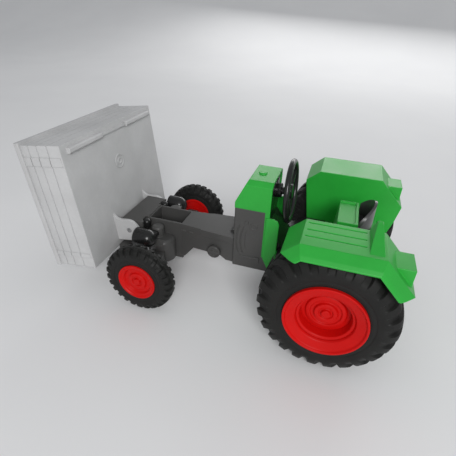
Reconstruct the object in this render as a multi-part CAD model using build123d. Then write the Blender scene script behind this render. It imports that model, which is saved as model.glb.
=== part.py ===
from build123d import *
import os
from math import cos, radians, sin

# Toy tractor with a tipping front tray. Millimetres, +X towards the tray, +Y to the driver's left,
# +Z up. Everything is worked out with the rear axle at X = 0 and the ground at Z = 0, and is moved
# at the very end so that the origin is the middle of the whole model's footprint.

# ---- driving dimensions: wheels and axles
wheelbase = 100.4
rear_tyre_r = 33.0
rear_tyre_in = 32.5            # inner face of a rear tyre, from the middle plane
rear_tyre_w = 22.5
rear_seat_r = 19.2             # rear tyre's bore over the rim flanges
front_tyre_r = 20.16
front_tyre_in = 37.0
front_tyre_w = 9.6
front_seat_r = 10.9
rod_r = 1.5                    # both axle rods and the hinge pin
running_gap = 0.05             # rod in a bore that it turns in
thrust_gap = 0.4               # between a wheel's hub and the frame
seat_step = 1.0                # how deep a tyre's bead sits in its rim
rim_wall = 1.8

# ---- driving dimensions: chassis
tray_over_tyre = 1.4           # lowered tray above the front tyres
hinge_to_floor = 8.71          # hinge axis to the tray's underside
hinge_below_deck = 5.7
hinge_ahead = 19.6             # hinge axis ahead of the front axle
beam_depth = 14.7
beam_front_half = 8.6
beam_rear_half = 12.1
engine_front = 55.8
engine_rear = 39.0
engine_half = 14.0
engine_above_deck = 20.8
gearbox_below_axle = 11.0      # rear axle to the underside of gearbox and engine
axle_housing_drop = 6.0         # rear axle to the underside of its housing
chassis_wall = 2.2
nose_r = 8.4                   # rounded end of the nose, inside the tray's turning circle
nose_half = 16.2
nose_above_deck = 0.7
pocket_length = 21.0
pocket_wall = 1.2
gearbox_rear = -12.0
peg_niche_r = 2.5              # niche in the nose around a latch peg
axle_beam_w = 8.0
axle_beam_h = 7.8
cover_t = 1.6
fit_gap = 0.05                 # between plastic parts that are plugged together

headlight_r = 5.4
headlight_length = 12.4
lens_depth = 1.2
headlight_y = 22.6
drum_r = 7.6                    # upright drum on the frame over the front axle beam
drum_y = 13.0
drum_above_hinge = -2.5         # drum's top, from the hinge axis
post_r = 3.8                    # upright post that a headlight plugs into
post_y = 12.4
plug_r = 2.2

# ---- driving dimensions: tray
tip_angle = 97.2
tray_half = 44.4
tray_depth = 26.3
tray_wall = 1.8
tray_rim_w = 1.4
tray_rim_h = 2.9
tray_to_engine = 2.6           # rim of the lowered tray to the engine
floor_to_front = 10.69         # hinge axis to the tray's front face
arm_gap = 0.4
arm_t = 1.8
arm_r = 7.0
groove_w = 0.6
groove_depth = 0.4
batten_proud = 0.4

# ---- driving dimensions: hood, cab and fenders
shell_t = 1.5
hood_h = 16.1
hood_top_half = 10.8
hood_front_h = 3.5             # upright part of the hood's front
hood_top_length = 13.2
hood_rear = 36.5
wing_reach = 5.5               # how far the side wings stand out behind the hood
floor_t = 1.6
housing_half_h = 2.4           # rear axle housing above the axle
wing_to_floor = 0.1
floor_rear = -28.0
fender_to_tyre_side = 1.2
fender_over_tyre = 1.9
fender_slope_gap = 3.85
fender_overhang = 2.4
slat_grooves = (3.2, 9.2, 14.8)  # from the fender's inner edge
slat_groove_w = 1.0
slat_groove_depth = 0.9
fin_h = 6.0                     # backrest fin above the left fender's top
fin_foot = 6.2                  # fin's depth at its foot
front_slope = 40.7             # degrees from level
rear_slope = 46.8
fender_front_drop = 6.5
fender_rear_drop = 14.6
seat_height = 23.8             # seat pan above the cab floor
seat_half = 12.8
wheel_ring_r = 15.94
wheel_tube_r = 1.5
wheel_tilt = 3.6
stem_r = 2.0

# ---- places that follow from the sizes above
tray_floor_z = 2 * front_tyre_r + tray_over_tyre
hinge_x = wheelbase + hinge_ahead
hinge_z = tray_floor_z - hinge_to_floor
deck_z = hinge_z + hinge_below_deck
beam_bottom = deck_z - beam_depth
engine_top = deck_z + engine_above_deck
engine_bottom = rear_tyre_r - gearbox_below_axle
pocket_front = wheelbase + 10.6
pocket_rear = pocket_front - pocket_length
nose_rear = pocket_front + 0.8
nose_top = deck_z + nose_above_deck
axle_beam_bottom = front_tyre_r - axle_beam_h / 2
axle_beam_top = axle_beam_bottom + axle_beam_h
carrier_bottom = axle_beam_bottom - 2.2
headlight_back = wheelbase - 0.2
headlight_z = hinge_z + 0.3
post_x = headlight_back + 3.4
carrier_front = wheelbase + 14.6
carrier_rear = wheelbase - 13.4
gearbox_top = rear_tyre_r + housing_half_h
floor_z = gearbox_top + floor_t
wing_foot = floor_z - 6.0
hood_top = engine_top + hood_h
hood_top_front = hood_rear + hood_top_length
floor_front = hood_rear - wing_reach - wing_to_floor
fender_in = rear_tyre_in - fender_to_tyre_side - shell_t
fender_out = rear_tyre_in + rear_tyre_w + fender_overhang
fender_top = 2 * rear_tyre_r + fender_over_tyre + shell_t
fender_front_z = fender_top - fender_front_drop
fender_rear_z = fender_top - fender_rear_drop
seat_z = floor_z + seat_height
stem_bore_r = stem_r + running_gap
bore_r = rod_r + running_gap
arm_in = nose_half + arm_gap
arm_out = arm_in + arm_t
tray_length = hinge_x + floor_to_front - engine_front - tray_to_engine - tray_rim_w
tray_front_x = hinge_x + floor_to_front
tray_rear_x = tray_front_x - tray_length
tray_top_z = tray_floor_z + tray_depth
front_hub_in = front_tyre_in - 1.4
rear_hub_in = fender_in + shell_t + 0.5
wheel_x = 28.8
wheel_z = hood_top - 7.95


# ---- helpers
def block(x0, x1, y0, y1, z0, z1):
    """A box between two limits on each axis."""
    return Pos((x0 + x1) / 2, (y0 + y1) / 2, (z0 + z1) / 2) * Box(x1 - x0, y1 - y0, z1 - z0)


def side_plate(outline, y0, y1):
    """An (x, z) outline carried from y0 to y1."""
    wire = Wire.make_polygon([Vector(x, y0, z) for x, z in outline], close=True)
    return Part() + Solid.extrude(Face(wire), Vector(0, y1 - y0, 0))


def plan_plate(outline, z0, z1):
    """An (x, y) outline carried from z0 to z1."""
    wire = Wire.make_polygon([Vector(x, y, z0) for x, y in outline], close=True)
    return Part() + Solid.extrude(Face(wire), Vector(0, 0, z1 - z0))


def cross_plate(outline, x0, x1):
    """A (y, z) outline carried from x0 to x1."""
    wire = Wire.make_polygon([Vector(x0, y, z) for y, z in outline], close=True)
    return Part() + Solid.extrude(Face(wire), Vector(x1 - x0, 0, 0))


def rod_y(radius, x, z, y0, y1):
    """A round bar along Y."""
    return Pos(x, (y0 + y1) / 2, z) * Rot(X=90) * Cylinder(radius, y1 - y0)


def rod_x(radius, y, z, x0, x1):
    """A round bar along X."""
    return Pos((x0 + x1) / 2, y, z) * Rot(Y=90) * Cylinder(radius, x1 - x0)


def rod_z(radius, x, y, z0, z1):
    """A round bar along Z."""
    return Pos(x, y, (z0 + z1) / 2) * Cylinder(radius, z1 - z0)


def turned(outline, x, z):
    """A (radius, y) outline turned about the Y line through (x, z)."""
    wire = Wire.make_polygon([Vector(x + r, y, z) for r, y in outline], close=True)
    return Part() + Solid.revolve(Face(wire), 360, Axis((x, 0, z), (0, 1, 0)))


def other_side(shape):
    """The same shape on the driver's right."""
    return mirror(shape, about=Plane.XZ)


def both_sides(shape):
    """A shape on the left together with its mirror image."""
    return shape + other_side(shape)


# ---- chassis
def beam_half(x):
    """Half width of the frame's beam, which narrows forwards from the engine to the pocket."""
    span = pocket_rear - engine_front
    share = min(max((pocket_rear - x) / span, 0), 1)
    return beam_front_half + (beam_rear_half - beam_front_half) * share


def beam():
    """The open beam between engine and nose, with the front axle's carrier under it."""
    corners = [(engine_front - 1, beam_half(engine_front)), (pocket_rear, beam_front_half),
               (nose_rear + 1, beam_front_half)]
    outline = corners + [(x, -y) for x, y in reversed(corners)]
    plan = plan_plate(outline, carrier_bottom - 1, deck_z)
    side = [(engine_front - 1, deck_z), (nose_rear + 1, deck_z), (nose_rear + 1, axle_beam_top),
            (carrier_front, axle_beam_bottom), (carrier_rear + 1, axle_beam_bottom),
            (carrier_rear - 5, beam_bottom), (engine_front + 8.2, beam_bottom),
            (engine_front + 4.7, engine_bottom), (engine_front - 1, engine_bottom)]
    body = plan & side_plate(side, -beam_rear_half - 1, beam_rear_half + 1)
    ledge_outline = [(x, y + 0.5) for x, y in ((engine_front - 1, beam_half(engine_front)),
                                               (engine_front + 21, beam_half(engine_front + 21)))]
    ledge = plan_plate(ledge_outline + [(x, -y) for x, y in reversed(ledge_outline)], deck_z - 3.7, deck_z)
    return body + ledge


def deck_pocket():
    """The deep open pocket in the front of the beam."""
    half = beam_front_half - pocket_wall
    return block(pocket_rear, pocket_front, -half, half, axle_beam_top + 2.0, deck_z + 1)


def nose():
    """The wide nose, rounded about the tray's hinge."""
    rounded = rod_y(nose_r, hinge_x, hinge_z, -nose_half, nose_half)
    rear = block(nose_rear, hinge_x, -nose_half, nose_half, hinge_z - nose_r, nose_top)
    limit = block(nose_rear, hinge_x + nose_r, -nose_half, nose_half, hinge_z - nose_r, nose_top)
    return (rounded & limit) + rear


def engine_block():
    """The engine block, whose sides show under the hood."""
    body = block(engine_rear, engine_front, -engine_half, engine_half, engine_bottom, engine_top)
    body = fillet(body.edges().filter_by(Axis.Z).group_by(Axis.X)[-1], 0.8)
    hollow_half = engine_half - chassis_wall
    hollow = block(engine_rear + chassis_wall, engine_front - chassis_wall, -hollow_half, hollow_half,
                   engine_bottom - 1, engine_top - chassis_wall)
    return body - hollow


def curved_groove(x, z, height, bulge, width, depth):
    """An upright groove in the engine's side that bows forwards."""
    radius = (height * height / 4 + bulge * bulge) / (2 * bulge)
    ring = rod_y(radius + width / 2, x - radius, z, engine_half - depth, engine_half + 1)
    ring -= rod_y(radius - width / 2, x - radius, z, engine_half - depth - 1, engine_half + 2)
    window = block(x - bulge - width, x + width, engine_half - depth - 1, engine_half + 2,
                   z - height / 2, z + height / 2)
    return ring & window


def engine_details(body):
    """Grooves, a round boss, a plug and a pipe moulded into the engine's sides."""
    groove_z = deck_z + 1.5
    for x, height in ((engine_front - 1.8, 18.0), (engine_front - 4.2, 17.0)):
        body -= both_sides(curved_groove(x, groove_z, height, 1.5, 0.8, 0.5))
    shallow = curved_groove(engine_front - 6.6, groove_z, 11.0, 0.8, 0.6, 0.3)
    body -= both_sides(shallow)
    boss = rod_y(2.2, engine_rear + 5.5, deck_z + 10.8, engine_half - 0.2, engine_half + 0.35)
    boss -= rod_y(1.4, engine_rear + 5.5, deck_z + 10.8, engine_half + 0.1, engine_half + 1)
    plug = rod_y(1.1, engine_rear + 9.7, deck_z + 12.6, engine_half - 0.2, engine_half + 0.5)
    clip = block(engine_rear + 1.2, engine_rear + 3.2, engine_half - 0.2, engine_half + 0.6,
                 engine_bottom + 4.6, engine_bottom + 8.2)
    pipe = rod_x(0.8, engine_half, engine_bottom + 7.2, engine_rear + 3.2, engine_front - 4.4)
    return body + both_sides(boss + plug + clip + pipe)


def gearbox():
    """The gearbox under the cab, with the rear axle's housing across it."""
    half = engine_half
    body = block(gearbox_rear, engine_rear + 1, -half, half, engine_bottom, gearbox_top)
    inner = half - chassis_wall
    body -= block(gearbox_rear + chassis_wall, engine_rear + 2, -inner, inner,
                  engine_bottom - 1, gearbox_top - chassis_wall)
    housing_half = rear_hub_in - thrust_gap
    housing = block(-6, 6, -housing_half, housing_half, rear_tyre_r - axle_housing_drop, gearbox_top)
    housing = fillet(housing.edges().filter_by(Axis.Y).group_by(Axis.Z)[0], 2.5)
    return body + housing


def engine_opening():
    """The way from the gearbox's hollow into the engine's hollow."""
    inner = engine_half - chassis_wall
    return block(engine_rear - 1, engine_rear + chassis_wall + 1, -inner, inner,
                 engine_bottom - 1, gearbox_top - chassis_wall)


def peg_places():
    """Centres of the two latch pegs, beside the beam and partly let into the nose."""
    return [(nose_rear - 0.8, side * 12.0) for side in (1, -1)]


def front_drums():
    """A drum over the axle beam and a headlight post beside it, on each side."""
    drum = rod_z(drum_r, wheelbase, drum_y, axle_beam_bottom + fit_gap, hinge_z + drum_above_hinge)
    drum = fillet(drum.edges().filter_by(GeomType.CIRCLE).group_by(Axis.Z)[-1], 2.4)
    post = rod_z(post_r, post_x, post_y, axle_beam_top, headlight_z + post_r)
    post = fillet(post.edges().filter_by(GeomType.CIRCLE).group_by(Axis.Z)[-1], 1.5)
    around_lamp = rod_x(headlight_r + 0.4, headlight_y, headlight_z, headlight_back - 3, headlight_back + 30)
    body = drum + post - around_lamp
    body -= rod_y(plug_r + fit_gap, post_x, headlight_z, post_y - fit_gap, headlight_y)
    return both_sides(body)


def chassis_frame():
    """The frame: beam, nose, engine and gearbox in one moulding, with its bores and slots."""
    body = beam() + nose() + gearbox() + engine_block() + front_drums()
    body -= engine_opening()
    body = engine_details(body)
    body -= deck_pocket()
    body -= rod_y(bore_r, 0, rear_tyre_r, -rear_tyre_in, rear_tyre_in)
    body -= rod_y(rod_r, hinge_x, hinge_z, -nose_half - 1, nose_half + 1)
    notch_half = axle_beam_w / 2 + fit_gap
    notch_out = drum_y + drum_r + 1
    body -= block(wheelbase - notch_half, wheelbase + notch_half, -notch_out, notch_out,
                  carrier_bottom - 2, axle_beam_top + fit_gap)
    for x, y in peg_places():
        inner = beam_front_half if y > 0 else -beam_front_half
        body -= rod_z(peg_niche_r, x, y, hinge_z - nose_r - 1, nose_top + 1)
        body -= block(x - peg_niche_r, x + peg_niche_r, min(inner, y), max(inner, y),
                      hinge_z - nose_r - 1, nose_top + 1)
    body -= both_sides(block(hood_rear - fit_gap, engine_rear, engine_half - shell_t - fit_gap,
                             engine_half + 1, wing_foot - fit_gap, gearbox_top + 1))
    rest = block(engine_front, engine_front + 4.2, -5.5, 5.5, deck_z - 0.2, deck_z + 1.1)
    body += chamfer(rest.edges().filter_by(Axis.Y).group_by(Axis.Z)[-1].sort_by(Axis.X)[-1:], 1.0)
    for x in (pocket_rear - 6.5, pocket_rear - 1.5):
        y = beam_half(x)
        bump = block(x - 1.3, x + 1.3, y - 0.6, y + 0.4, deck_z - 4.6, deck_z - 3.8)
        body += both_sides(bump)
    return body


def chassis_cover():
    """The plate that closes the hollow under gearbox and engine."""
    half = engine_half - chassis_wall - fit_gap
    x0 = gearbox_rear + chassis_wall + fit_gap
    x1 = engine_front - chassis_wall - fit_gap
    plate = block(x0, x1, -half, half, engine_bottom, engine_bottom + cover_t)
    for x in screw_places():
        plate -= rod_z(1.0, x, 0, engine_bottom - 1, engine_bottom + cover_t + 1)
        plate -= rod_z(2.0, x, 0, engine_bottom - 1, engine_bottom + 0.8)
        plate += rod_z(2.6, x, 0, engine_bottom + cover_t, engine_bottom + cover_t + 3) \
            - rod_z(1.0, x, 0, engine_bottom, engine_bottom + cover_t + 4)
    return plate


def screw_places():
    """Where the two cover screws stand along the middle line."""
    return [gearbox_rear + 8.0, engine_front - 8.0]


def cover_screws():
    """Two pan-head screws that hold the cover."""
    screws = Part()
    for x in screw_places():
        screw = rod_z(1.8, x, 0, engine_bottom + 0.1, engine_bottom + 0.8)
        screw += rod_z(1.0, x, 0, engine_bottom + 0.8, engine_bottom + cover_t + 3)
        slot = block(x - 1.1, x + 1.1, -0.25, 0.25, engine_bottom - 1, engine_bottom + 0.4)
        slot += block(x - 0.25, x + 0.25, -1.1, 1.1, engine_bottom - 1, engine_bottom + 0.4)
        screws += screw - slot
    return screws


def axle_beam():
    """The cross beam that carries the front axle rod."""
    half_l = front_hub_in - thrust_gap
    body = block(wheelbase - axle_beam_w / 2, wheelbase + axle_beam_w / 2, -half_l, half_l,
                 axle_beam_bottom, axle_beam_top)
    body = fillet(body.edges().filter_by(Axis.Y), 1.2)
    body -= rod_y(bore_r, wheelbase, front_tyre_r, -half_l - 1, half_l + 1)
    return body


def axle_beam_keeper():
    """The clip-on plate that holds the axle beam up in its notch."""
    plate = block(carrier_rear + 2, carrier_front - 1.5, -beam_front_half, beam_front_half,
                  carrier_bottom, axle_beam_bottom)
    return fillet(plate.edges().filter_by(Axis.Y).group_by(Axis.Z)[0], 1.2)


def front_bumper():
    """A bar across the front, under the nose, bent back at its ends."""
    z0 = axle_beam_bottom + 3.6
    z1 = hinge_z - nose_r - 0.6
    x0 = carrier_front - 6.0
    front = hinge_x + 5.6
    outline = [(x0, 6.0), (x0, -6.0), (front - 5, -11), (front - 5, -25), (front - 2, -25),
               (front, -22), (front, 22), (front - 2, 25), (front - 5, 25), (front - 5, 11)]
    bar = plan_plate(outline, z0, z1)
    stem = block(x0, x0 + 6, -6, 6, z1, hinge_z - nose_r + 0.6)
    return bar + stem - chassis_core()


def chassis_core():
    """The beam and nose without their openings, which the bumper fits against."""
    return beam() + nose()


# ---- headlights and pegs
def headlight():
    """The left headlight's housing: a dome that looks forwards, with a plug at its side."""
    back = headlight_back
    front = back + headlight_length
    r = headlight_r
    mouth = r - 0.7
    rear_end = Vector(back, headlight_y, headlight_z)

    def at(x, radius):
        return Vector(x, headlight_y, headlight_z + radius)
    middle = at(back + r * (1 - cos(radians(45))), r * sin(radians(45)))
    edges = [Edge.make_three_point_arc(rear_end, middle, at(back + r, r)),
             Edge.make_line(at(back + r, r), at(front, r)), Edge.make_line(at(front, r), at(front, mouth)),
             Edge.make_line(at(front, mouth), at(front - lens_depth, mouth)),
             Edge.make_line(at(front - lens_depth, mouth), at(front - lens_depth, 0)),
             Edge.make_line(at(front - lens_depth, 0), rear_end)]
    axis = Axis((0, headlight_y, headlight_z), (1, 0, 0))
    dome = Part() + Solid.revolve(Face(Wire(edges)), 360, axis)
    plug = rod_y(plug_r, post_x, headlight_z, post_y, headlight_y - r + 1.5)
    plug = chamfer(plug.edges().filter_by(GeomType.CIRCLE).group_by(Axis.Y)[0], 0.4)
    return dome + plug


def headlight_lens():
    """A clear lens, domed a little, pressed into the housing's mouth."""
    front = headlight_back + headlight_length
    lens = rod_x(headlight_r - 0.7, headlight_y, headlight_z, front - lens_depth, front + 0.4)
    return fillet(lens.edges().filter_by(GeomType.CIRCLE).group_by(Axis.X)[-1], 0.6)


def latch_pegs():
    """Two round-headed pegs that stand beside the beam, each on a short stub."""
    pegs = Part()
    for x, y in peg_places():
        side = 1 if y > 0 else -1
        peg = rod_z(2.25, x, y, nose_top - 5.8, nose_top + 0.2)
        peg = fillet(peg.edges().filter_by(GeomType.CIRCLE), 2.0)
        stub = rod_y(1.2, x, nose_top - 2.8, min(side * beam_front_half, y), max(side * beam_front_half, y))
        pegs += peg + stub
    return pegs


def side_pegs():
    """Short round pegs with a cross in their ends, low on both sides of the beam."""
    x = engine_front + 12.0
    z = beam_bottom + 2.6
    y0 = beam_half(x) - 0.35
    peg = rod_y(4.0, x, z, y0, y0 + 2.8)
    peg = fillet(peg.edges().filter_by(GeomType.CIRCLE).group_by(Axis.Y)[-1], 0.5)
    peg -= rod_y(3.1, x, z, y0 + 2.2, y0 + 3)
    cross = block(x - 3.1, x + 3.1, y0 + 1.5, y0 + 2.6, z - 0.5, z + 0.5)
    cross += block(x - 0.5, x + 0.5, y0 + 1.5, y0 + 2.6, z - 3.1, z + 3.1)
    peg = peg + cross - beam()
    return both_sides(peg)


# ---- tray, modelled level and then tipped about its hinge
def tray_shell():
    """The open box of the tray with its rim."""
    body = block(tray_rear_x, tray_front_x, -tray_half, tray_half, tray_floor_z, tray_top_z)
    rim = block(tray_rear_x - tray_rim_w, tray_front_x, -tray_half - tray_rim_w, tray_half + tray_rim_w,
                tray_top_z - tray_rim_h, tray_top_z)
    rim = fillet(rim.edges().filter_by(Axis.X), 0.6)
    inside_half = tray_half - tray_wall
    body = body + rim
    body -= block(tray_rear_x + tray_wall, tray_front_x - tray_wall, -inside_half, inside_half,
                  tray_floor_z + tray_wall, tray_top_z + 1)
    return body


def plank_grooves():
    """The grooves between planks, on both sides and on the rear."""
    cuts = Part()
    for height in (7.6, 13.9, 19.2):
        z = tray_floor_z + height
        side = block(tray_rear_x - 1, tray_front_x - groove_depth, tray_half - groove_depth, tray_half + 1,
                     z - groove_w / 2, z + groove_w / 2)
        cuts += both_sides(side)
        cuts += block(tray_rear_x - 1, tray_rear_x + groove_depth, -tray_half - 1, tray_half + 1,
                      z - groove_w / 2, z + groove_w / 2)
    return cuts


def tray_battens():
    """Upright battens over the planks near each end of the sides."""
    battens = Part()
    top = tray_top_z - tray_rim_h
    for x, half_w in ((tray_rear_x + 8.4, 2.3), (tray_front_x - 7.9, 1.3)):
        strip = block(x - half_w, x + half_w, tray_half - 0.6, tray_half + batten_proud,
                      tray_floor_z + 0.8, top)
        battens += both_sides(strip)
    return battens


def tray_cross_bar():
    """The bar under the tray's rear end that straddles the beam when the tray is down."""
    x1 = tray_rear_x + 5.3
    x0 = x1 - 3.0
    inner = beam_half(x0) + 1.0
    high = block(x0, x1, inner, tray_half - 4.4, tray_floor_z - 2.2, tray_floor_z + 0.2)
    high = chamfer(high.edges().filter_by(Axis.Y).group_by(Axis.Z)[0], 0.7)
    low = block(x0 + 0.6, x1 - 0.6, -inner - 1, inner + 1, tray_floor_z - 1.0, tray_floor_z + 0.2)
    return both_sides(high) + low


def tray_mark():
    """A plain raised double ring under the tray."""
    x = tray_rear_x + 22.9
    mark = rod_z(4.2, x, 0, tray_floor_z - 0.4, tray_floor_z + 0.1)
    mark -= rod_z(3.5, x, 0, tray_floor_z - 1, tray_floor_z)
    mark += rod_z(2.0, x, 0, tray_floor_z - 0.4, tray_floor_z + 0.1)
    mark -= rod_z(1.3, x, 0, tray_floor_z - 1, tray_floor_z)
    return mark


def hinge_arm():
    """One of the two arms that hang the tray on its pin, with a hollow curve into the floor."""
    flare = 4.8
    x_back = hinge_x - arm_r
    arm = rod_y(arm_r, hinge_x, hinge_z, arm_in, arm_out)
    arm += block(x_back, hinge_x + arm_r, arm_in, arm_out, hinge_z, tray_floor_z + 0.2)
    curve_z = tray_floor_z - flare
    corner = block(x_back - flare, x_back, arm_in, arm_out, curve_z, tray_floor_z + 0.2)
    corner -= rod_y(flare, x_back - flare, curve_z, arm_in - 1, arm_out + 1)
    arm += corner
    return arm - rod_y(bore_r, hinge_x, hinge_z, arm_in - 1, arm_out + 1)


def tray():
    body = tray_shell() + tray_battens() + tray_cross_bar() + tray_mark() + both_sides(hinge_arm())
    body -= plank_grooves()
    return Pos(hinge_x, 0, hinge_z) * Rot(Y=tip_angle) * Pos(-hinge_x, 0, -hinge_z) * body


def tray_hinge_pin():
    """The steel pin, pressed into the nose and running in the tray's arms."""
    return rod_y(rod_r, hinge_x, hinge_z, -arm_out, arm_out)


# ---- hood, dash and steering
def hood_body(inset):
    """The hood's outer form, or its hollow when inset by the wall."""
    top = hood_top - inset
    half = engine_half - inset
    top_half = hood_top_half - inset
    shoulder = hood_top - 2.0 - inset
    front = engine_front - inset
    slope_top = hood_top_front - 0.6 * inset
    side = [(hood_rear - inset, engine_top), (front, engine_top), (front, engine_top + hood_front_h),
            (slope_top, top), (hood_rear - inset, top)]
    section = [(-half, engine_top), (half, engine_top), (half, shoulder), (top_half, top),
               (-top_half, top), (-half, shoulder)]
    return side_plate(side, -half - 1, half + 1) & cross_plate(section, hood_rear - 2, engine_front + 1)


def hood_wings():
    """The narrow side wings behind the engine, each with a pointed tab at its foot."""
    top = engine_top - 2.7
    rear = hood_rear - wing_reach
    strip = block(hood_rear, engine_rear, engine_half - shell_t, engine_half, wing_foot, engine_top + 0.2)
    outline = [(rear, floor_z - 0.5), (rear, top - 3), (rear + 0.9, top - 0.9), (rear + 3, top),
               (hood_rear + 1.5, top), (hood_rear + 1.5, wing_foot), (hood_rear - 1.5, wing_foot - 6),
               (hood_rear - 4, wing_foot + 2)]
    wing = side_plate(outline, engine_half, engine_half + 1.0)
    return both_sides(strip + wing)


def hood():
    """The hood: an open-bottomed shell with a filler cap and side wings."""
    body = hood_body(0) - hood_body(shell_t)
    cap = rod_z(2.3, hood_top_front - 4.9, 0, hood_top - 0.2, hood_top + 0.7)
    body += fillet(cap.edges().filter_by(GeomType.CIRCLE).group_by(Axis.Z)[-1], 0.4)
    return body + hood_wings()


def stem_frame():
    """The steering stem's own frame: origin at the wheel's centre, +Z along the stem to the dash."""
    return Pos(wheel_x, 0, wheel_z) * Rot(Y=90 + wheel_tilt)


def dash_panel():
    """The panel behind the hood, with the steering column's boss and a pedal box at its foot."""
    half = engine_half - shell_t - fit_gap
    top = hood_top - shell_t - fit_gap
    shoulder = top - 2.0
    top_half = hood_top_half - shell_t - fit_gap
    section = [(-half, floor_z), (half, floor_z), (half, shoulder), (top_half, top), (-top_half, top),
               (-half, shoulder)]
    panel = cross_plate(section, hood_rear + 0.8, engine_rear - fit_gap)
    box_side = [(floor_front - 4.5, floor_z), (hood_rear + 1, floor_z), (hood_rear + 1, floor_z + 14),
                (floor_front, floor_z + 5)]
    pedal_box = side_plate(box_side, -half, half)
    dials = Part()
    for y in (-6.2, 6.2):
        dials += rod_x(2.6, y, hood_top - 6.2, hood_rear + 0.3, hood_rear + 1.2)
    boss = stem_frame() * Pos(0, 0, 7.2) * Cylinder(3.9, 4.4)
    bore = stem_frame() * Pos(0, 0, 10) * Cylinder(stem_bore_r, 12)
    recess = stem_frame() * Pos(0, 0, 12.6) * Cylinder(stem_r + 1.1, 4)
    clear_engine = block(engine_rear - fit_gap, engine_front, -half, half, floor_z, engine_top)
    inset = 0.6
    board_half = fender_in - inset
    corner = 9.5
    front = floor_front - inset
    board = plan_plate([(8.4, -board_half), (front - corner, -board_half), (front, -board_half + corner),
                        (front, board_half - corner), (front - corner, board_half), (8.4, board_half)],
                       floor_z, floor_z + 0.8)
    return panel + pedal_box + board + dials + boss - bore - recess - clear_engine


def steering_wheel():
    """Ring, three spokes, hub and stem in one moulding, with a snap head behind the dash."""
    ring = Torus(wheel_ring_r, wheel_tube_r)
    hub = Pos(0, 0, 0.6) * Cylinder(4.0, 3.2)
    hub = fillet(hub.edges().filter_by(GeomType.CIRCLE), 0.8)
    wheel = ring + hub
    for turn in (0, 115, 245):
        spoke = Pos(wheel_ring_r / 2, 0, 0.4) * Box(wheel_ring_r, 2.8, 1.5)
        wheel += Rot(Z=turn) * spoke
    stem = Pos(0, 0, 5.8) * Cylinder(stem_r, 9.6)
    head = Pos(0, 0, 11.35) * Cylinder(stem_r + 0.6, 1.5)
    return stem_frame() * (wheel + stem + head)


# ---- cab
def cab_floor():
    """The cab's floor and the hollow seat base that stands on it."""
    corner = 9.5
    outline = [(floor_rear, -fender_in), (floor_front - corner, -fender_in),
               (floor_front, -fender_in + corner), (floor_front, fender_in - corner),
               (floor_front - corner, fender_in), (floor_rear, fender_in)]
    floor = plan_plate(outline, gearbox_top, floor_z)
    half = seat_half
    base_side = [(-7.5, floor_z - 0.2), (5.0, floor_z - 0.2), (2.5, seat_z), (-7.5, seat_z)]
    base = side_plate(base_side, -half, half)
    lip = block(-7.5, -6.1, -half, half, seat_z - 0.1, seat_z + 0.8)
    lip += both_sides(block(-7.5, 2.5, half - 1.2, half, seat_z - 0.1, seat_z + 0.8))
    step = block(2.0, 8.0, -half, half, floor_z - 0.2, floor_z + 2.6)
    shelf = block(-17.5, -7.4, -half, half, floor_z - 0.2, seat_z - 6.0)
    inner_side = [(-6.0, gearbox_top - 1), (2.9, gearbox_top - 1), (1.2, seat_z - shell_t),
                  (-6.0, seat_z - shell_t)]
    hollow = side_plate(inner_side, -half + shell_t, half - shell_t)
    hollow += block(-16.0, -8.9, -half + shell_t, half - shell_t, gearbox_top - 1, seat_z - 6.0 - shell_t)
    return floor + base + lip + step + shelf - hollow


def roof_line(depth):
    """The fender roof's four corners in (x, z), moved inwards by depth along each slope's normal."""
    corners = []
    reach = rear_tyre_r + fender_slope_gap + shell_t
    above_axle = fender_top - rear_tyre_r
    for side, slope, end_z in ((1, front_slope, fender_front_z), (-1, rear_slope, fender_rear_z)):
        nx = sin(radians(slope))
        nz = cos(radians(slope))
        ridge = (reach - nz * above_axle) / nx
        top = (side * (ridge - depth * (1 - nz) / nx), fender_top - depth)
        end = (side * (ridge + (nz * (fender_top - end_z) - depth) / nx), end_z)
        corners.append((end, top))
    return [corners[0][0], corners[0][1], corners[1][1], corners[1][0]]


def roof_section(y, depth, thick):
    """One cross-wise station of the fender's roof as a closed wire."""
    outline = roof_line(depth) + list(reversed(roof_line(depth + thick)))
    return Wire.make_polygon([Vector(x, y, z) for x, z in outline], close=True)


def roof(stations):
    """The roof between stations of (y, depth, thickness), straight from one to the next."""
    body = Part()
    for near, far in zip(stations, stations[1:]):
        body += Part() + Solid.make_loft([roof_section(*near), roof_section(*far)], ruled=True)
    return body


def fender_wall():
    """The fender's inner wall, from the cab floor up to the roof."""
    line = roof_line(0)
    front_foot = (20.0, gearbox_top)
    outline = [front_foot, line[0], line[1], line[2], line[3],
               (line[3][0] + 1.9, floor_z + 7.8), (floor_rear, floor_z), (floor_rear, gearbox_top)]
    return side_plate(outline, fender_in, fender_in + shell_t)


def lamp_box():
    """The small box for a rear lamp on the fender's rear slope."""
    top = fender_top - 4.7
    ridge = roof_line(0)[2][0]
    tangent = cos(radians(rear_slope)) / sin(radians(rear_slope))
    start = ridge - (fender_top - top) * tangent
    back = start - 7.6
    foot = top - 7.6 / tangent
    outline = [(start, top), (back, top), (back, foot), (back + 0.8, foot - 0.9), (start + 0.8, top - 0.9)]
    return side_plate(outline, fender_in + 5.2, fender_in + 18.2)


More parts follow.
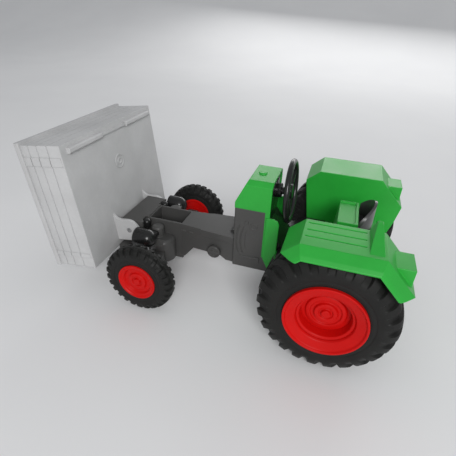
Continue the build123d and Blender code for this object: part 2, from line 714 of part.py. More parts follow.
def left_fender():
    """The left fender: slatted seat on its flat top, low backrest fin, bevelled outer edge."""
    ridge = fender_out - 5.6
    stations = [(fender_in, 0, shell_t), (ridge, 0, shell_t), (fender_out - 1.4, 2.9, 1.6),
                (fender_out, 4.3, 0.6)]
    body = roof(stations) + fender_wall() + lamp_box()
    front = roof_line(0)[1][0] - 1.2
    fin_front = roof_line(0)[2][0] + fin_foot + 1.1
    for offset in slat_grooves:
        y = fender_in + offset
        body -= block(fin_front + 0.8, front, y - slat_groove_w / 2, y + slat_groove_w / 2,
                      fender_top - slat_groove_depth, fender_top + 1)
    base = fender_top - 0.2
    across = [(fender_in + 0.4, base), (fender_in + 0.4, fender_top + fin_h - 0.8),
              (fender_in + 1.2, fender_top + fin_h), (fender_in + 2.8, fender_top + fin_h - 0.3),
              (fender_in + 20.2, base)]
    side = [(fin_front, base), (fin_front - 2.2, fender_top + fin_h - 0.6), (fin_front - 2.8, fender_top + fin_h),
            (fin_front - 4.2, fender_top + fin_h), (fin_front - 4.8, fender_top + fin_h - 0.6),
            (fin_front - fin_foot, base)]
    fin = cross_plate(across, fin_front - fin_foot - 1, fin_front + 1)
    fin &= side_plate(side, fender_in, fender_out)
    return body + fin


def right_fender():
    """The right fender: a plain flat top."""
    stations = [(fender_in, 0, shell_t), (fender_out - 1.4, 0, shell_t), (fender_out, 1.2, 3.5)]
    return other_side(roof(stations) + fender_wall() + lamp_box())


def driver_seat_back():
    """The curved shell behind the driver, standing on the shelf behind the seat."""
    low = seat_z - 6.0
    high = seat_z + 8.6
    outer_r = 13.6
    centre_x = -1.6
    shell = rod_z(outer_r, centre_x, 0, low, high) - rod_z(outer_r - 1.2, centre_x, 0, low - 1, high + 1)
    crown_r = 11.6
    arch = rod_x(crown_r, 0, high - crown_r, -20, -8.0) + block(-20, -8.0, -crown_r, crown_r, low, high - crown_r)
    shell &= arch
    foot = rod_z(outer_r - 1.2, centre_x, 0, low, low + 1.2) & block(-20, -8.0, -crown_r, crown_r, low, high)
    return shell + foot


def tow_hitch():
    """The drawbar at the back, with an upright hole for a trailer's pin."""
    eye_x = -28.5
    z0 = engine_bottom + 2.0
    z1 = z0 + 3.0
    bar = block(eye_x, gearbox_rear, -4.5, 4.5, z0, z1)
    bar += rod_z(4.5, eye_x, 0, z0, z1)
    rib = side_plate([(gearbox_rear, z1 - 0.2), (gearbox_rear, z1 + 5), (gearbox_rear - 9, z1 - 0.2)], -1, 1)
    return bar + rib - rod_z(1.75, eye_x, 0, z0 - 1, z1 + 1)


# ---- wheels
def axle_rod(x, z, half_length):
    """A steel axle rod with chamfered ends."""
    rod = rod_y(rod_r, x, z, -half_length, half_length)
    return chamfer(rod.edges().filter_by(GeomType.CIRCLE), 0.3)


def rim_seat(y_in, y_out, seat_r):
    """The tyre's seat on a rim, from the inner flange to the outer flange, as (radius, y) corners."""
    low = seat_r - seat_step
    return [(seat_r, y_in), (seat_r, y_in + 1.3), (low, y_in + 1.9), (low, y_out - 1.9),
            (seat_r, y_out - 1.3), (seat_r, y_out)]


def tyre(x, radius, y_in, width, seat_r, shoulder):
    """A rubber tyre with a crowned tread and round shoulders, seated in its rim."""
    y_out = y_in + width
    middle = y_in + width / 2
    crown_half = width * 0.36
    crown_drop = radius * 0.024
    crown_r = radius - crown_drop
    side_r = radius - shoulder
    seat = rim_seat(y_in + 0.5, y_out - 0.5, seat_r)
    points = [Vector(x + r, y, radius) for r, y in seat]
    edges = [Edge.make_line(a, b) for a, b in zip(points, points[1:])]

    def at(r, y):
        return Vector(x + r, y, radius)
    edges.append(Edge.make_line(points[-1], at(side_r, y_out)))
    bend = crown_half + 0.78 * (width / 2 - crown_half)
    bend_r = crown_r - 0.30 * (crown_r - side_r)
    edges.append(Edge.make_three_point_arc(at(side_r, y_out), at(bend_r, middle + bend),
                                           at(crown_r, middle + crown_half)))
    edges.append(Edge.make_three_point_arc(at(crown_r, middle + crown_half), at(radius, middle),
                                           at(crown_r, middle - crown_half)))
    edges.append(Edge.make_three_point_arc(at(crown_r, middle - crown_half), at(bend_r, middle - bend),
                                           at(side_r, y_in)))
    edges.append(Edge.make_line(at(side_r, y_in), points[0]))
    face = Face(Wire(edges))
    return Part() + Solid.revolve(face, 360, Axis((x, 0, radius), (0, 1, 0)))


def rear_rim():
    """The left rear rim: deep dish outside, barrel and hub inside, with a blind bore for the rod."""
    y_in = rear_tyre_in + 0.5
    y_out = rear_tyre_in + rear_tyre_w - 0.5
    lip = y_out + 1.5
    barrel = rear_seat_r - seat_step - rim_wall
    dish_r = rear_seat_r - 5.7
    dish_y = lip - 8.5
    rod_end = rear_rod_half()
    outline = [(0, rod_end), (rod_r, rod_end), (rod_r, rear_hub_in), (rod_r + 3, rear_hub_in),
               (rod_r + 3, dish_y - 1.6), (dish_r - 2.3, dish_y - 1.6), (dish_r - 1.6, lip - 4.1),
               (barrel, lip - 2.3), (barrel, y_in)]
    outline += rim_seat(y_in, y_out, rear_seat_r)
    outline += [(rear_seat_r, lip), (rear_seat_r - 0.7, lip), (dish_r, lip - 2.8), (dish_r - 0.7, dish_y),
                (9.2, dish_y), (9.0, dish_y + 1.7), (7.2, dish_y + 1.7), (7.0, dish_y + 1.3), (5.4, dish_y + 1.3),
                (5.2, dish_y + 1.7), (0, dish_y + 1.7)]
    return turned(outline, 0, rear_tyre_r)


def rear_rod_half():
    """Half the length of the rear axle rod, up to the bottom of the rims' blind bores."""
    return rear_tyre_in + rear_tyre_w - 7.5


def front_rod_half():
    """Half the length of the front axle rod."""
    return front_tyre_in + front_tyre_w - 2.2


def front_rim():
    """The left front rim: a shallow stepped face, with a blind bore for the rod."""
    y_in = front_tyre_in + 0.5
    y_out = front_tyre_in + front_tyre_w - 0.5
    lip = y_out + 0.8
    rod_end = front_rod_half()
    face = lip - 1.8
    outline = [(0, rod_end), (rod_r, rod_end), (rod_r, front_hub_in), (rod_r + 2, front_hub_in),
               (rod_r + 2, y_in + 1.5), (front_seat_r - 1.8, y_in + 1.5), (front_seat_r - 1.8, y_in)]
    outline += rim_seat(y_in, y_out, front_seat_r)
    outline += [(front_seat_r, lip), (front_seat_r - 0.6, lip), (8.2, lip - 0.9), (7.5, face), (4.8, face),
                (4.5, face + 0.9), (0, face + 0.9)]
    return turned(outline, wheelbase, front_tyre_r)


def rear_tyre():
    return tyre(0, rear_tyre_r, rear_tyre_in, rear_tyre_w, rear_seat_r, 6.0)


def front_tyre():
    return tyre(wheelbase, front_tyre_r, front_tyre_in, front_tyre_w, front_seat_r, 3.5)


# ---- the whole tractor
def all_parts():
    """Every node by name, in the rear axle's frame."""
    parts = {
        "chassis_frame": chassis_frame(),
        "chassis_cover": chassis_cover(),
        "cover_screws": cover_screws(),
        "front_axle_beam": axle_beam(),
        "axle_beam_keeper": axle_beam_keeper(),
        "front_bumper": front_bumper(),
        "left_headlight": headlight(),
        "left_headlight_lens": headlight_lens(),
        "right_headlight": other_side(headlight()),
        "right_headlight_lens": other_side(headlight_lens()),
        "latch_pegs": latch_pegs(),
        "side_pegs": side_pegs(),
        "tray_hinge_pin": tray_hinge_pin(),
        "hood": hood(),
        "dash_panel": dash_panel(),
        "cab_floor": cab_floor(),
        "left_fender": left_fender(),
        "right_fender": right_fender(),
        "driver_seat_back": driver_seat_back(),
        "tow_hitch": tow_hitch(),
        "tray": tray(),
        "steering_wheel": steering_wheel(),
        "front_axle": axle_rod(wheelbase, front_tyre_r, front_rod_half()),
        "left_front_rim": front_rim(),
        "right_front_rim": other_side(front_rim()),
        "left_front_tyre": front_tyre(),
        "right_front_tyre": other_side(front_tyre()),
        "rear_axle": axle_rod(0, rear_tyre_r, rear_rod_half()),
        "left_rear_rim": rear_rim(),
        "right_rear_rim": other_side(rear_rim()),
        "left_rear_tyre": rear_tyre(),
        "right_rear_tyre": other_side(rear_tyre()),
    }
    return parts


def origin_shift(parts):
    """How far along X the footprint's middle lies from the rear axle."""
    boxes = [part.bounding_box() for part in parts.values()]
    return (min(box.min.X for box in boxes) + max(box.max.X for box in boxes)) / 2


def main():
    parts = all_parts()
    shift = origin_shift(parts)
    print("origin lies", round(shift, 4), "mm ahead of the rear axle")
    os.makedirs("parts", exist_ok=True)
    for name, part in parts.items():
        export_step(Pos(-shift, 0, 0) * part, f"parts/{name}.step")


if __name__ == "__main__":
    main()
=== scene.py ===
"""Looks of a toy tractor with a tipping tray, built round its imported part.

Lengths are in metres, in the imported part's frame: X runs from the rear wheels to the
front ones, Y to the tractor's left and Z up. The tray stands tipped at rest.
"""

import bmesh
import bpy
import numpy as np
from mathutils import Matrix, Vector


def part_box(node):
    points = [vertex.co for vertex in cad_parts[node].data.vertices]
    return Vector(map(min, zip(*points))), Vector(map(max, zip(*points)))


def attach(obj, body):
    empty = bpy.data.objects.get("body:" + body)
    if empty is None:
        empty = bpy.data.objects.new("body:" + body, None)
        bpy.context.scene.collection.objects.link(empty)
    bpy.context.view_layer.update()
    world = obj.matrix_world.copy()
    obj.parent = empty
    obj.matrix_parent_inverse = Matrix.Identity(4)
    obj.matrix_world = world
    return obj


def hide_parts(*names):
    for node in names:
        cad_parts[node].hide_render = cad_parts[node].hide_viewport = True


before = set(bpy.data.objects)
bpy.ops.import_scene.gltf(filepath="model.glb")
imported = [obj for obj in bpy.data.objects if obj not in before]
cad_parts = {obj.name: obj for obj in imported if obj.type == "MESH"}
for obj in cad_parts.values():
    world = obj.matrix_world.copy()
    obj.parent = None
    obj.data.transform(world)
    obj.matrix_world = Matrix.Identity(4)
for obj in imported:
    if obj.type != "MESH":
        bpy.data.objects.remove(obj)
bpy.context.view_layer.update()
scene = bpy.context.scene

MM = 0.001
TURN = 2 * np.pi
RIM_TURNS = 96


# ---- meshes from grids of points
def smooth_step(low, high, x):
    """0 below low, 1 above high, and a smooth cubic between them: 3t squared less 2t cubed.
    Where low is the larger of the two, it falls instead of rising."""
    t = np.clip((x - low) / (high - low), 0, 1)
    return t * t * (3 - 2 * t)


def rounded(outline, radius, steps=5, closed=False):
    """The outline with each corner replaced by a parabola that starts and ends at the
    given distance from the corner, or at half of the shorter side beside it."""
    corner = np.asarray(outline, float)
    reach = np.broadcast_to(np.asarray(radius, float), len(corner))
    before, after = np.roll(corner, 1, 0), np.roll(corner, -1, 0)
    back, ahead = before - corner, after - corner
    back_length = np.linalg.norm(back, axis=1)
    ahead_length = np.linalg.norm(ahead, axis=1)
    cut = np.minimum(reach, np.minimum(back_length, ahead_length) / 2)
    start = corner + back / back_length[:, None] * cut[:, None]
    end = corner + ahead / ahead_length[:, None] * cut[:, None]
    t = np.linspace(0, 1, steps)[None, :, None]
    pull = corner[:, None]
    curve = (1 - t) ** 2 * start[:, None] + 2 * t * (1 - t) * pull + t ** 2 * end[:, None]
    if not closed:
        curve[0], curve[-1] = corner[0], corner[-1]
    points = curve.reshape(-1, 2)
    moved = np.linalg.norm(np.diff(points, axis=0), axis=1) > 1e-6
    return points[np.concatenate([[True], moved])]


def grid_faces(rows, columns, loop_rows, loop_columns):
    """Four-cornered faces of a grid of points, with its ends joined where it loops."""
    i = np.arange(rows if loop_rows else rows - 1)
    j = np.arange(columns if loop_columns else columns - 1)
    i, j = np.meshgrid(i, j, indexing="ij")
    i_next, j_next = (i + 1) % rows, (j + 1) % columns
    near, far = i * columns, i_next * columns
    return np.stack([near + j, far + j, far + j_next, near + j_next], -1).reshape(-1, 4)


def make_piece(name, points, faces, material, body, replaced, smooth_angle, values=()):
    """A mesh piece from points and faces that rides on a body in place of a CAD node, with its
    poles merged. smooth_angle is in degrees. values holds arrays with one number for each
    point, which become attributes."""
    mesh = bpy.data.meshes.new(name)
    mesh.from_pydata(points.reshape(-1, 3).tolist(), [], faces.tolist())
    for key, numbers in dict(values).items():
        attribute = mesh.attributes.new(key, "FLOAT", "POINT")
        attribute.data.foreach_set("value", numbers.ravel().astype(np.float32))
    piece = bpy.data.objects.new(name, mesh)
    scene.collection.objects.link(piece)
    outward(mesh)
    mesh.polygons.foreach_set("use_smooth", np.ones(len(mesh.polygons), bool))
    mesh.set_sharp_from_angle(angle=np.radians(smooth_angle))
    mesh.materials.append(material)
    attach(piece, body)
    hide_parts(replaced)
    return piece


def outward(mesh):
    """Merges doubled points, drops empty faces and turns every face outwards."""
    doubled_within = 0.002 * MM
    empty_below = 0.001 * MM
    work = bmesh.new()
    work.from_mesh(mesh)
    bmesh.ops.remove_doubles(work, verts=work.verts, dist=doubled_within)
    bmesh.ops.dissolve_degenerate(work, edges=work.edges, dist=empty_below)
    bmesh.ops.recalc_face_normals(work, faces=work.faces)
    work.to_mesh(mesh)
    work.free()


def revolved(profile, centre, side):
    """Points of a profile turned about an axle: x = r cos(angle), z = r sin(angle). Its rows
    are the distance from the axle and from the middle plane; side is 1 for left, -1 for right."""
    angle = np.arange(RIM_TURNS) / RIM_TURNS * TURN
    r, y = profile[:, 0], profile[:, 1]
    x = centre[0] + np.cos(angle)[:, None] * r
    z = centre[2] + np.sin(angle)[:, None] * r
    return np.stack([x, np.broadcast_to(side * y, x.shape), z], -1)


def box_of(node):
    """A node's lowest and highest corner as two arrays."""
    low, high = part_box(node)
    return np.array(low), np.array(high)


# ---- finishes
def new_finish(name):
    """A new material with its node tree and its shader."""
    material = bpy.data.materials.new(name)
    material.use_nodes = True
    tree = material.node_tree
    return material, tree, tree.nodes["Principled BSDF"]


def add(tree, kind, inputs=(), **settings):
    """Adds a node, sets its properties, and sets or joins its inputs by name or number."""
    node = tree.nodes.new(kind)
    for key, value in settings.items():
        setattr(node, key, value)
    for key, value in dict(inputs).items():
        join(tree, value, node.inputs[key])
    return node


def join(tree, value, socket):
    """Links a socket to another, or gives it a plain value."""
    if isinstance(value, bpy.types.NodeSocket):
        tree.links.new(value, socket)
    else:
        socket.default_value = value


def noise(tree, where, size, detail=2.0):
    """Noise whose lumps are about the given size across, from 0 to 1."""
    inputs = {"Vector": where, "Scale": 1 / size, "Detail": detail}
    return add(tree, "ShaderNodeTexNoise", inputs).outputs["Fac"]


def stretch(tree, value, low, high, to_low, to_high):
    """A value mapped from one range to another, and held at its ends."""
    ends = {"Value": value, "From Min": low, "From Max": high, "To Min": to_low, "To Max": to_high}
    return add(tree, "ShaderNodeMapRange", ends).outputs["Result"]


def blend_colour(tree, amount, first, second):
    """The first colour at 0 and the second at 1."""
    node = add(tree, "ShaderNodeMix", {0: amount, 6: first, 7: second}, data_type="RGBA")
    return node.outputs[2]


def calculate(tree, operation, first, second=0.0):
    """One sum of the Math node."""
    node = add(tree, "ShaderNodeMath", {0: first, 1: second}, operation=operation)
    return node.outputs[0]


def edge_amount(tree, soft_normal, low, high):
    """0 on flat faces and 1 along sharp edges, from how far the rounded normal turns."""
    true_normal = add(tree, "ShaderNodeNewGeometry").outputs["True Normal"]
    pair = {0: soft_normal, 1: true_normal}
    dot = add(tree, "ShaderNodeVectorMath", pair, operation="DOT_PRODUCT")
    turned = calculate(tree, "SUBTRACT", 1.0, dot.outputs["Value"])
    return stretch(tree, turned, low, high, 0.0, 1.0)


def tone(colour, factor):
    """A colour made lighter or darker, with its alpha of 1."""
    return (*[min(1.0, channel * factor) for channel in colour], 1.0)


def bumped(tree, shader, height, strength, depth, normal=None):
    """Joins a bump to the shader: how strong it is, how deep, and the normal that it sits on."""
    inputs = {"Strength": strength, "Distance": depth, "Height": height}
    if normal is not None:
        inputs["Normal"] = normal
    join(tree, add(tree, "ShaderNodeBump", inputs).outputs["Normal"], shader.inputs["Normal"])


def moulded_plastic(name, colour, roughness, edge_radius, edge_highlight_and_wear, grain, gloss=0.0, shine=0.25):
    """Injection-moulded plastic: slow drifts of tone, a fine spark-eroded grain, lighter edges with
    rounded normals, and a roughness that wanders. The lighter edges are partly edge wear and partly a
    painted highlight along every edge. gloss is the weight of a clear coat, and shine is how much the
    surface reflects."""
    drift_size, speck_size, fine_size = 22 * MM, 1.6 * MM, 0.35 * MM
    grain_depth = 0.03 * MM
    drift_swing, fine_swing = 0.05, 0.04
    material, tree, shader = new_finish(name)
    where = add(tree, "ShaderNodeTexCoord").outputs["Object"]
    drift = noise(tree, where, drift_size, 3.0)
    speck = noise(tree, where, speck_size)
    fine = noise(tree, where, fine_size)
    mixed = stretch(tree, drift, 0.35, 0.65, 0.0, 1.0)
    base = blend_colour(tree, mixed, tone(colour, 0.93), tone(colour, 1.07))
    specks = stretch(tree, speck, 0.3, 0.7, 0.0, 0.22)
    base = blend_colour(tree, specks, base, tone(colour, 0.86))
    soft = add(tree, "ShaderNodeBevel", {"Radius": edge_radius}, samples=6).outputs["Normal"]
    edge = edge_amount(tree, soft, 0.02, 0.25)
    # Lighter edges: partly edge wear, partly a painted highlight laid along every sharp edge.
    lightened = calculate(tree, "MULTIPLY", edge, stretch(tree, speck, 0.3, 0.6, 0.35, 0.9))
    base = blend_colour(tree, lightened, base, tone(colour, edge_highlight_and_wear))
    join(tree, base, shader.inputs["Base Color"])
    slow = stretch(tree, drift, 0.3, 0.7, -drift_swing, drift_swing)
    quick = stretch(tree, fine, 0.3, 0.7, roughness - fine_swing, roughness + fine_swing)
    join(tree, calculate(tree, "ADD", slow, quick), shader.inputs["Roughness"])
    height = calculate(tree, "ADD", calculate(tree, "MULTIPLY", fine, 0.4), speck)
    bumped(tree, shader, height, grain, grain_depth, soft)
    shader.inputs["IOR"].default_value = 1.5
    shader.inputs["Specular IOR Level"].default_value = shine
    shader.inputs["Coat Weight"].default_value = gloss
    shader.inputs["Coat Roughness"].default_value = 0.12
    return material


def tyre_rubber(name, colour):
    """Soft black tyre compound: dull, with painted shade darkening the grooves, rubbed grey specks and
    mould grain. The groove attribute is 1 at the bottom of a groove."""
    drift_size, fine_size, grain_depth = 9 * MM, 0.5 * MM, 0.05 * MM
    material, tree, shader = new_finish(name)
    where = add(tree, "ShaderNodeTexCoord").outputs["Object"]
    groove = add(tree, "ShaderNodeAttribute", attribute_name="groove").outputs["Fac"]
    drift = noise(tree, where, drift_size, 3.0)
    fine = noise(tree, where, fine_size, 3.0)
    mixed = stretch(tree, drift, 0.35, 0.65, 0.0, 1.0)
    base = blend_colour(tree, mixed, tone(colour, 0.85), tone(colour, 1.2))
    # Painted shade: the grooves are darkened towards their bottom.
    deep = stretch(tree, groove, 0.2, 1.0, 0.0, 0.6)
    base = blend_colour(tree, deep, base, tone(colour, 0.55))
    specks = stretch(tree, fine, 0.35, 0.7, 0.0, 0.4)
    lightened = calculate(tree, "MULTIPLY", specks, stretch(tree, drift, 0.3, 0.7, 0.3, 1.0))
    base = blend_colour(tree, lightened, base, tone(colour, 1.9))
    join(tree, base, shader.inputs["Base Color"])
    join(tree, stretch(tree, drift, 0.3, 0.7, 0.48, 0.66), shader.inputs["Roughness"])
    height = calculate(tree, "ADD", fine, calculate(tree, "MULTIPLY", drift, 0.6))
    bumped(tree, shader, height, 0.45, grain_depth)
    shader.inputs["Specular IOR Level"].default_value = 0.2
    shader.inputs["Sheen Weight"].default_value = 0.03
    shader.inputs["Sheen Roughness"].default_value = 0.5
    return material


def drawn_steel(name):
    """Bright axle steel with fine draw marks along the rod."""
    mark_size, mark_depth, along_rod = 0.25 * MM, 0.01 * MM, 0.04
    dull, bright = (0.42, 0.42, 0.43, 1), (0.66, 0.66, 0.67, 1)
    material, tree, shader = new_finish(name)
    where = add(tree, "ShaderNodeTexCoord").outputs["Object"]
    squeeze = {"Vector": where, "Scale": (1.0, along_rod, 1.0)}
    drawn = add(tree, "ShaderNodeMapping", squeeze).outputs["Vector"]
    marks = noise(tree, drawn, mark_size, 3.0)
    join(tree, blend_colour(tree, marks, dull, bright), shader.inputs["Base Color"])
    join(tree, stretch(tree, marks, 0.3, 0.7, 0.24, 0.42), shader.inputs["Roughness"])
    bumped(tree, shader, marks, 0.2, mark_depth)
    shader.inputs["Metallic"].default_value = 1.0
    return material


def clear_plastic(name, colour):
    """Clear glossy plastic with a faint cloud in it and a slightly wavy skin."""
    cloud_size, wave_depth = 2 * MM, 0.03 * MM
    material, tree, shader = new_finish(name)
    where = add(tree, "ShaderNodeTexCoord").outputs["Object"]
    cloud = noise(tree, where, cloud_size)
    clouded = blend_colour(tree, cloud, tone(colour, 0.92), tone(colour, 1.05))
    join(tree, clouded, shader.inputs["Base Color"])
    join(tree, stretch(tree, cloud, 0.3, 0.7, 0.05, 0.12), shader.inputs["Roughness"])
    bumped(tree, shader, cloud, 0.15, wave_depth)
    shader.inputs["IOR"].default_value = 1.49
    shader.inputs["Transmission Weight"].default_value = 0.7
    return material


green = moulded_plastic("moulded_green", (0.022, 0.36, 0.040), roughness=0.36,
                        edge_radius=0.6 * MM, edge_highlight_and_wear=1.6, grain=0.25, shine=0.35)
red = moulded_plastic("moulded_rim_red", (0.54, 0.004, 0.003), roughness=0.42,
                      edge_radius=0.3 * MM, edge_highlight_and_wear=1.25, grain=0.25, shine=0.15)
tray_grey = moulded_plastic("moulded_tray_grey", (0.5, 0.5, 0.5), roughness=0.46,
                            edge_radius=0.5 * MM, edge_highlight_and_wear=1.12, grain=0.3, shine=0.3)
frame_grey = moulded_plastic("moulded_frame_grey", (0.066, 0.065, 0.063), roughness=0.42,
                             edge_radius=0.4 * MM, edge_highlight_and_wear=1.7, grain=0.35, gloss=0.1)
black = moulded_plastic("moulded_black", (0.012, 0.012, 0.012), roughness=0.3,
                        edge_radius=0.4 * MM, edge_highlight_and_wear=1.8, grain=0.25, gloss=0.3)
seat_grey = moulded_plastic("moulded_seat_grey", (0.05, 0.049, 0.05), roughness=0.28,
                            edge_radius=0.4 * MM, edge_highlight_and_wear=1.6, grain=0.2, gloss=0.4)
rubber = tyre_rubber("black_tyre_rubber", (0.0105, 0.0105, 0.0098))
steel = drawn_steel("drawn_axle_steel")
lens = clear_plastic("clear_headlight_plastic", (0.86, 0.87, 0.85))

slot_finish = {"frame_plastic": frame_grey, "green_plastic": green, "red_plastic": red,
               "tray_plastic": tray_grey, "black_plastic": black, "seat_plastic": seat_grey,
               "tyre_rubber": rubber, "axle_steel": steel, "clear_lens": lens}
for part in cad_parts.values():
    for place in part.material_slots:
        place.material = slot_finish[place.material.name.split(".")[0]]


# ---- wheels
# A lug takes this share of a pitch, with a flank at each end; a turn's grid lines stand at
# these shares, closer together over the flanks.
LUG_SHARE = 0.62
LUG_FLANK = 0.08
PITCH_STEPS = np.array([0.0, 0.04, 0.08, 0.12, 0.21, 0.3, 0.4, 0.5, 0.54, 0.58, 0.62, 0.71, 0.8, 0.9])
LUG_END_SLOPE = 0.5 * MM
# The sunk ring of a side wall: its place, and how far from there it is full and gone.
RING_ABOVE_BEAD = 2.6 * MM
RING_INNER = 0.2 * MM
RING_OUTER = 0.55 * MM
RING_DEPTH = 0.25 * MM


def tyre_section(radius, sizes):
    """The closed cross-section of a tyre with full lugs, in even steps: its rows are the
    distance from the axle and from the tyre's own middle, and its corners are rounded."""
    crown_r, shoulder_r = radius - sizes["crown_drop"] * 0.12, radius - sizes["crown_drop"]
    crown_y, shoulder_y = sizes["crown_half"] * 0.45, sizes["crown_half"]
    bead_wall, bead_tuck, bore_tuck = 1.6 * MM, 0.5 * MM, 1.2 * MM
    left_half = [(crown_r, crown_y), (shoulder_r, shoulder_y),
                 (sizes["side_r"], sizes["half_width"]),
                 (sizes["bead_r"] + bead_wall, sizes["half_width"] - bead_tuck),
                 (sizes["bead_r"], sizes["bead_half"]),
                 (sizes["bore_r"], sizes["bead_half"] - bore_tuck)]
    right_half = [(r, -y) for r, y in reversed(left_half)]
    outline = [right_half[-1], (radius, 0.0)] + left_half + right_half[:-1]
    left_reach = [9, 3.2, 3.2, 0.8, 0.5, 0.4]
    reach = np.array([9, 9] + left_reach + left_reach[:0:-1]) * MM
    smooth = rounded(outline, reach, steps=9, closed=True)
    return even_steps(smooth, sizes["section_points"])


def outward_normals(section, inside_r):
    """Unit normals of a closed section, as two columns that point away from its inside."""
    r, y = section[:, 0], section[:, 1]
    tangent = np.roll(section, -1, 0) - np.roll(section, 1, 0)
    tangent /= np.linalg.norm(tangent, axis=1)[:, None]
    normal_r, normal_y = tangent[:, 1], -tangent[:, 0]
    outwards = np.sign(np.sum(normal_r * (r - inside_r) + normal_y * y))
    return normal_r * outwards, normal_y * outwards


def lugged_tyre(name, node, side, body, sizes):
    """A tyre: a closed cross-section turned about the axle, with two rows of slanted lugs.

    A turn's grid lines lean with the lugs, so a lug's edges lie on them. Between the lugs the
    surface sinks by the lug height along its own normal; that sinking fades out on the side
    wall. The rows are half a pitch apart. They overlap at the middle, or leave a plain rib
    there where the overlap is negative. A fine ring is sunk into each side wall."""
    low, high = box_of(node)
    axle = (low + high) / 2
    radius = (high[2] - low[2]) / 2
    middle = abs(axle[1])
    section = tyre_section(radius, sizes)
    r, y = section[:, 0], section[:, 1]
    normal_r, normal_y = outward_normals(section, (radius + sizes["bore_r"]) / 2)

    lugs = sizes["lugs"]
    along = (np.arange(lugs)[:, None] + PITCH_STEPS).ravel()
    lean = sizes["lean"] * smooth_lean(np.abs(y), sizes["half_width"]) / radius
    angle = along[:, None] / lugs * TURN + lean
    row_end = -sizes["overlap"]
    in_near = smooth_step(row_end - LUG_END_SLOPE, row_end, y)
    in_far = smooth_step(row_end - LUG_END_SLOPE, row_end, -y)
    near_row = lug_top(along)[:, None] * in_near
    far_row = lug_top(along + 0.5)[:, None] * in_far
    between_rows = (1 - in_near) * (1 - in_far)
    lug = np.maximum(np.maximum(near_row, far_row), between_rows)
    sunk = (1 - lug) * smooth_step(sizes["lug_start_r"], sizes["lug_end_r"], r)
    ring_away = np.abs(r - sizes["bead_r"] - RING_ABOVE_BEAD)
    ring = RING_DEPTH * smooth_step(RING_OUTER, RING_INNER, ring_away)
    r_made = r - normal_r * sunk * sizes["lug_height"]
    y_made = y - normal_y * sunk * sizes["lug_height"] - np.sign(y) * ring
    points = np.stack([axle[0] + np.cos(angle) * r_made,
                       side * (middle + y_made) * np.ones_like(angle),
                       axle[2] + np.sin(angle) * r_made], -1)
    faces = grid_faces(*angle.shape, True, True)
    make_piece(name, points, faces, rubber, body, node, smooth_angle=30,
               values={"groove": sunk})


def even_steps(section, count):
    """A closed outline resampled at even steps of its length."""
    closed = np.vstack([section, section[:1]])
    length = np.concatenate([[0], np.cumsum(np.linalg.norm(np.diff(closed, axis=0), axis=1))])
    at = np.linspace(0, length[-1], count, endpoint=False)
    return np.stack([np.interp(at, length, closed[:, 0]), np.interp(at, length, closed[:, 1])], -1)


def lug_top(along):
    """1 on a lug and 0 in the gap after it; along counts pitches."""
    part = np.mod(along, 1.0)
    return smooth_step(0.0, LUG_FLANK, part) * smooth_step(LUG_SHARE, LUG_SHARE - LUG_FLANK, part)


def smooth_lean(across, half_width):
    """How far a lug has leaned at a distance from the middle: the half width times the sine
    of a quarter turn's share, so it ends straight towards the axle on the side wall."""
    return half_width * np.sin(np.clip(across / half_width, 0, 1) * TURN / 4)


def turned_rim(name, node, side, body, outline, corner):
    """A one-piece rim: its rounded outline turned about the axle, with closed poles."""
    low, high = box_of(node)
    axle = (low + high) / 2
    profile = rounded(np.array(outline) * MM, corner, steps=6)
    points = revolved(profile, axle, side)
    faces = grid_faces(*points.shape[:2], True, False)
    make_piece(name, points, faces, red, body, node, smooth_angle=50)


def rear_rim_outline():
    """The rear rim's half section in millimetres: distance from the axle and from the middle
    plane, from the rod's hole over the hub, web and tyre seat into the dish and to the boss."""
    rod_r, hub_r, seat_r, flange_r, drum_r = 1.5, 4.5, 18.2, 19.2, 16.4
    rod_stop, hub_start, web_back, drum_start, face = 47.5, 31.8, 45.9, 33.0, 56.0
    dish_floor = 47.5
    hub = [(0, rod_stop), (rod_r, rod_stop), (rod_r, hub_start), (hub_r, hub_start)]
    back = [(hub_r, web_back), (11.2, web_back), (11.9, 51.9), (drum_r, 53.7), (drum_r, drum_start)]
    seat = [(flange_r, drum_start), (flange_r, 34.3), (seat_r, 34.9), (seat_r, 52.6), (flange_r, 53.2)]
    flange = [(flange_r, face), (18.2, face), (17.7, 55.0), (13.7, 53.6), (13.1, 52.4)]
    dish = [(12.6, dish_floor), (9.6, dish_floor), (9.2, 48.6), (7.4, 48.9), (7.0, 48.0)]
    boss = [(5.6, 48.0), (5.2, 49.4), (3.4, 49.4), (3.1, 48.7), (2.3, 48.7), (2.0, 50.1), (0, 50.1)]
    return hub + back + seat + flange + dish + boss


def front_rim_outline():
    """The front rim's half section, in the same order and units as the rear one's."""
    rod_r, hub_r, seat_r, flange_r, drum_r = 1.5, 3.5, 9.9, 10.9, 9.1
    rod_stop, hub_start, web_back, drum_start, face = 44.4, 35.6, 39.0, 37.5, 46.9
    hub = [(0, rod_stop), (rod_r, rod_stop), (rod_r, hub_start), (hub_r, hub_start)]
    back = [(hub_r, web_back), (drum_r, web_back), (drum_r, drum_start)]
    seat = [(flange_r, drum_start), (flange_r, 38.2), (seat_r, 38.8), (seat_r, 45.0), (flange_r, 45.4)]
    flange = [(flange_r, face), (10.1, face), (9.5, 46.2), (8.3, 46.0), (7.6, 44.7)]
    boss = [(5.4, 44.7), (5.0, 45.8), (3.1, 45.9), (2.8, 45.2), (2.1, 45.2), (1.8, 46.5), (0, 46.5)]
    return hub + back + seat + flange + boss


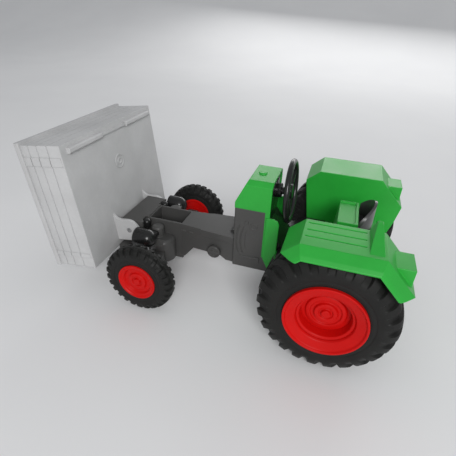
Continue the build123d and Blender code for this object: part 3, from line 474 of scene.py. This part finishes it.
rear_tyre_sizes = {"lugs": 24, "half_width": 11.25 * MM, "crown_half": 8.1 * MM, "crown_drop": 0.8 * MM,
                   "side_r": 27.0 * MM, "bead_r": 19.25 * MM, "bead_half": 10.75 * MM,
                   "bore_r": 18.3 * MM, "lug_height": 1.5 * MM, "lug_start_r": 24.5 * MM,
                   "lug_end_r": 31.0 * MM, "lean": 0.75, "overlap": 0.4 * MM, "section_points": 150}
front_tyre_sizes = {"lugs": 26, "half_width": 4.8 * MM, "crown_half": 3.46 * MM, "crown_drop": 0.48 * MM,
                    "side_r": 16.7 * MM, "bead_r": 10.95 * MM, "bead_half": 4.45 * MM,
                    "bore_r": 10.0 * MM, "lug_height": 0.9 * MM, "lug_start_r": 15.6 * MM,
                    "lug_end_r": 18.6 * MM, "lean": 0.35, "overlap": -1.1 * MM, "section_points": 104}
tyre_sizes = {"rear": rear_tyre_sizes, "front": front_tyre_sizes}
rim_outlines = {"rear": (rear_rim_outline(), 0.35 * MM), "front": (front_rim_outline(), 0.25 * MM)}

for side, hand in ((1, "left"), (-1, "right")):
    for end, sizes in tyre_sizes.items():
        tyre = f"{hand}_{end}_tyre"
        lugged_tyre(f"{tyre}_lugged", tyre, side, f"{end}_wheels", sizes)
    for end, (outline, corner) in rim_outlines.items():
        rim = f"{hand}_{end}_rim"
        turned_rim(f"{rim}_turned", rim, side, f"{end}_wheels", outline, corner)


# ---- studio
def studio_floor():
    """A pale sheet that runs level under the tractor and curves up far behind it: a rounded
    path of Y and Z, swept straight across in X. Lengths are in metres."""
    front, bend, back, back_top = 4.0, -1.3, -2.1, 1.2
    path = rounded([(front, 0.0), (bend, 0.0), (back, back_top)], 0.6, steps=24)
    across = np.linspace(-4.0, 4.0, 9)
    grid = (len(path), len(across))
    sheet = [np.broadcast_to(across, grid), np.broadcast_to(path[:, :1], grid),
             np.broadcast_to(path[:, 1:], grid)]
    points = np.stack(sheet, -1).reshape(-1, 3)
    mesh = bpy.data.meshes.new("floor_sheet")
    mesh.from_pydata(points.tolist(), [], grid_faces(*grid, False, False).tolist())
    mesh.polygons.foreach_set("use_smooth", np.ones(len(mesh.polygons), bool))
    floor = bpy.data.objects.new("floor_sheet", mesh)
    scene.collection.objects.link(floor)
    dull_paper, bright_paper = (0.76, 0.76, 0.765, 1), (0.82, 0.82, 0.82, 1)
    material, tree, shader = new_finish("pale_floor_paper")
    where = add(tree, "ShaderNodeTexCoord").outputs["Object"]
    patch = noise(tree, where, 120 * MM)
    join(tree, blend_colour(tree, patch, dull_paper, bright_paper), shader.inputs["Base Color"])
    shader.inputs["Roughness"].default_value = 0.7
    mesh.materials.append(material)


def soft_light(name, place, target, width, height, power):
    """A soft light panel that faces a target. Lengths are in metres, power in watts."""
    light = bpy.data.lights.new(name, "AREA")
    light.shape = "RECTANGLE"
    light.size = width
    light.size_y = height
    light.energy = power
    lamp = bpy.data.objects.new(name, light)
    scene.collection.objects.link(lamp)
    lamp.location = place
    lamp.rotation_mode = "QUATERNION"
    lamp.rotation_quaternion = (Vector(target) - Vector(place)).to_track_quat("-Z", "Y")


def studio_world():
    """An even, faintly cool room."""
    world = bpy.data.worlds.new("studio_room")
    world.use_nodes = True
    background = world.node_tree.nodes["Background"]
    background.inputs["Color"].default_value = (0.95, 0.97, 1.0, 1)
    background.inputs["Strength"].default_value = 0.45
    scene.world = world


def place_camera():
    """The camera stands high at the tractor's left rear quarter and is rolled a little.
    Angles are in radians. Its place is measured along from the rear axle, left from the
    middle plane and up from the floor."""
    heading, fall, roll = -1.278, 0.548, 0.042
    along, left, height = 7.664 * MM, 184.538 * MM, 154.537 * MM
    level = Vector((np.cos(heading), np.sin(heading), 0))
    ahead = level * np.cos(fall) - Vector((0, 0, np.sin(fall)))
    right = ahead.cross(Vector((0, 0, 1))).normalized()
    up = right.cross(ahead)
    across = right * np.cos(roll) + up * np.sin(roll)
    upright = up * np.cos(roll) - right * np.sin(roll)
    camera = bpy.data.cameras.new("camera")
    camera.sensor_width = 36.0
    camera.lens = 29.62
    camera.clip_start = 0.01
    holder = bpy.data.objects.new("camera", camera)
    scene.collection.objects.link(holder)
    turn = Matrix((across, upright, -ahead)).transposed().to_4x4()
    rear_low, rear_high = box_of("rear_axle")
    axle_x = (rear_low[0] + rear_high[0]) / 2
    holder.matrix_world = Matrix.Translation((axle_x + along, left, height)) @ turn
    scene.camera = holder


scene.view_settings.view_transform = "Standard"
studio_floor()
studio_world()
soft_light("window", (-0.35, 0.82, 0.55), (0, 0, 0.03), width=0.4, height=0.4, power=6.3)
soft_light("back_panel", (-0.1, -1.1, 0.42), (0, 0, 0.05), width=1.1, height=0.3, power=3.6)
place_camera()
